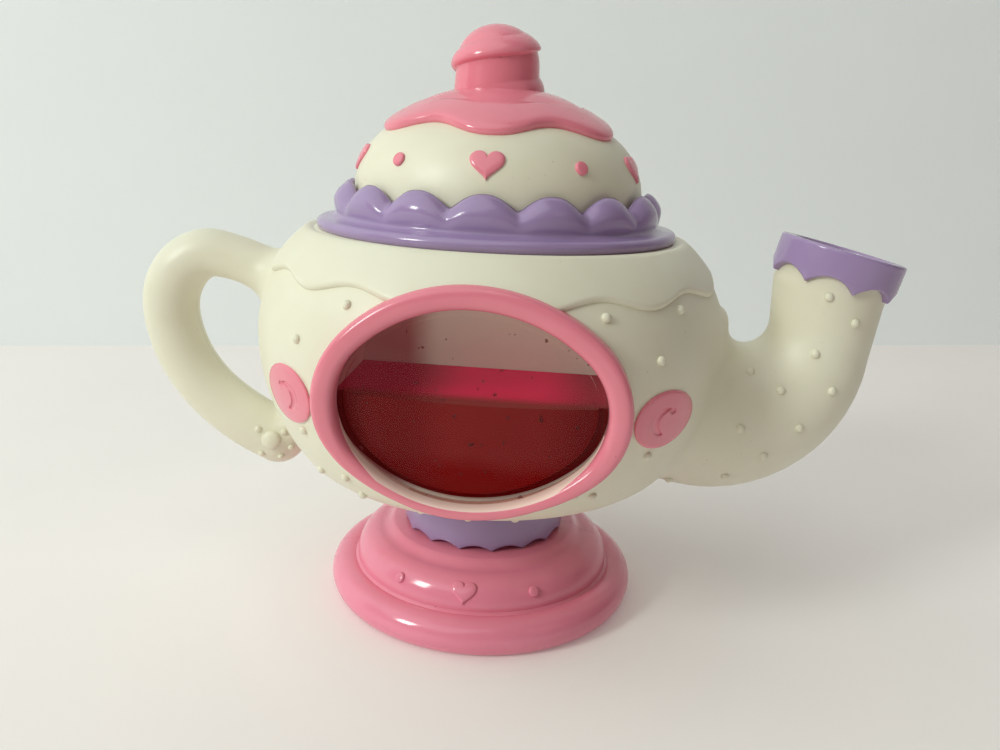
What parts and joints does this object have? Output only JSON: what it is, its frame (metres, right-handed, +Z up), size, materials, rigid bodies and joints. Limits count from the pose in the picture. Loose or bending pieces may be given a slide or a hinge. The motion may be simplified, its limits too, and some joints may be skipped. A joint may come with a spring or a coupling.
{
  "type": "toy teapot",
  "caption": "Toy teapot with a round body on a pedestal, an oval window of pretend tea, a curved spout, a loop handle and a sprung lid that presses down to play music.",
  "frame": {"origin": "centre of the foot ring's flat underside, on the table", "axes": "+Z up along the body's axis, +X towards the spout, -Y towards the tea window; the handle is at -X"},
  "size_m": [0.2629, 0.1543, 0.1975],
  "materials": {
    "cream_plastic": "glossy moulded",
    "pink_plastic": "glossy moulded and painted",
    "lavender_plastic": "glossy moulded",
    "clear_plastic": "clear, lightly scratched",
    "tea": "clear red liquid",
    "white_plastic": "satin moulded",
    "steel": "zinc plated",
    "brass": "polished",
    "green_board": "satin lacquer",
    "black_plastic": "satin moulded",
    "speaker_frame": "dark plated",
    "paper_cone": "pressed paper",
    "cell_jacket": "printed foil jacket, plain",
    "wire_jacket": "flexible jacket"
  },
  "bodies": {
    "pot": {"body_front_shell": "cream_plastic", "body_rear_shell": "cream_plastic", "base_front_half": "pink_plastic", "base_rear_half": "pink_plastic", "base_plate": "pink_plastic", "window_bezel": "pink_plastic", "left_medallion": "pink_plastic", "right_medallion": "pink_plastic", "spout_rim": "lavender_plastic", "neck_ring": "lavender_plastic", "lid_collar": "lavender_plastic", "window_lens": "clear_plastic", "tea_liquid": "tea", "tea_pan": "white_plastic", "lid_spring": "steel", "tilt_can": "steel", "cell_contacts": "steel", "body_screws": "steel", "base_screws": "steel", "collar_screws": "steel", "board_screws": "steel", "circuit_board": "green_board", "board_parts": "black_plastic", "switch_body": "black_plastic", "power_switch_body": "black_plastic", "speaker": "speaker_frame", "speaker_cone": "paper_cone", "aa_cells": "cell_jacket", "lead_wires": "wire_jacket"},
    "lid": {"lid_dome": "cream_plastic", "dome_hearts": "pink_plastic", "dome_dots": "pink_plastic", "lid_icing": "pink_plastic", "lid_knob": "pink_plastic", "lid_washer": "steel", "lid_screw": "steel"},
    "plunger": {"switch_plunger": "white_plastic"},
    "door": {"battery_door": "pink_plastic", "battery_door_screw": "steel"},
    "power_knob": {"power_switch_knob": "black_plastic"},
    "rolling_ball": {"tilt_ball": "brass"}
  },
  "joints": [
    {"name": "lid_press", "type": "slide", "parent": "pot", "child": "lid", "axis": [0, 0, -1], "range_m": [0, 0.003], "stiffness_N_per_m": 400, "springref_m": -0.008, "deforming": ["lid_spring"]},
    {"name": "switch_press", "type": "slide", "parent": "pot", "child": "plunger", "axis": [0, 0, -1], "range_m": [0, 0.003]},
    {"name": "battery_door_lift", "type": "slide", "parent": "pot", "child": "door", "axis": [0, 0, -1], "range_m": [0, 0.012]},
    {"name": "power_switch_slide", "type": "slide", "parent": "pot", "child": "power_knob", "axis": [0, 1, 0], "range_m": [0, 0.0034]},
    {"name": "tilt_ball_roll", "type": "slide", "parent": "pot", "child": "rolling_ball", "axis": [1, 0, 0], "range_m": [0, 0.0044]}
  ],
  "couplings": [
    {"joint": "switch_press", "follows": "lid_press", "ratio": 1}
  ]
}
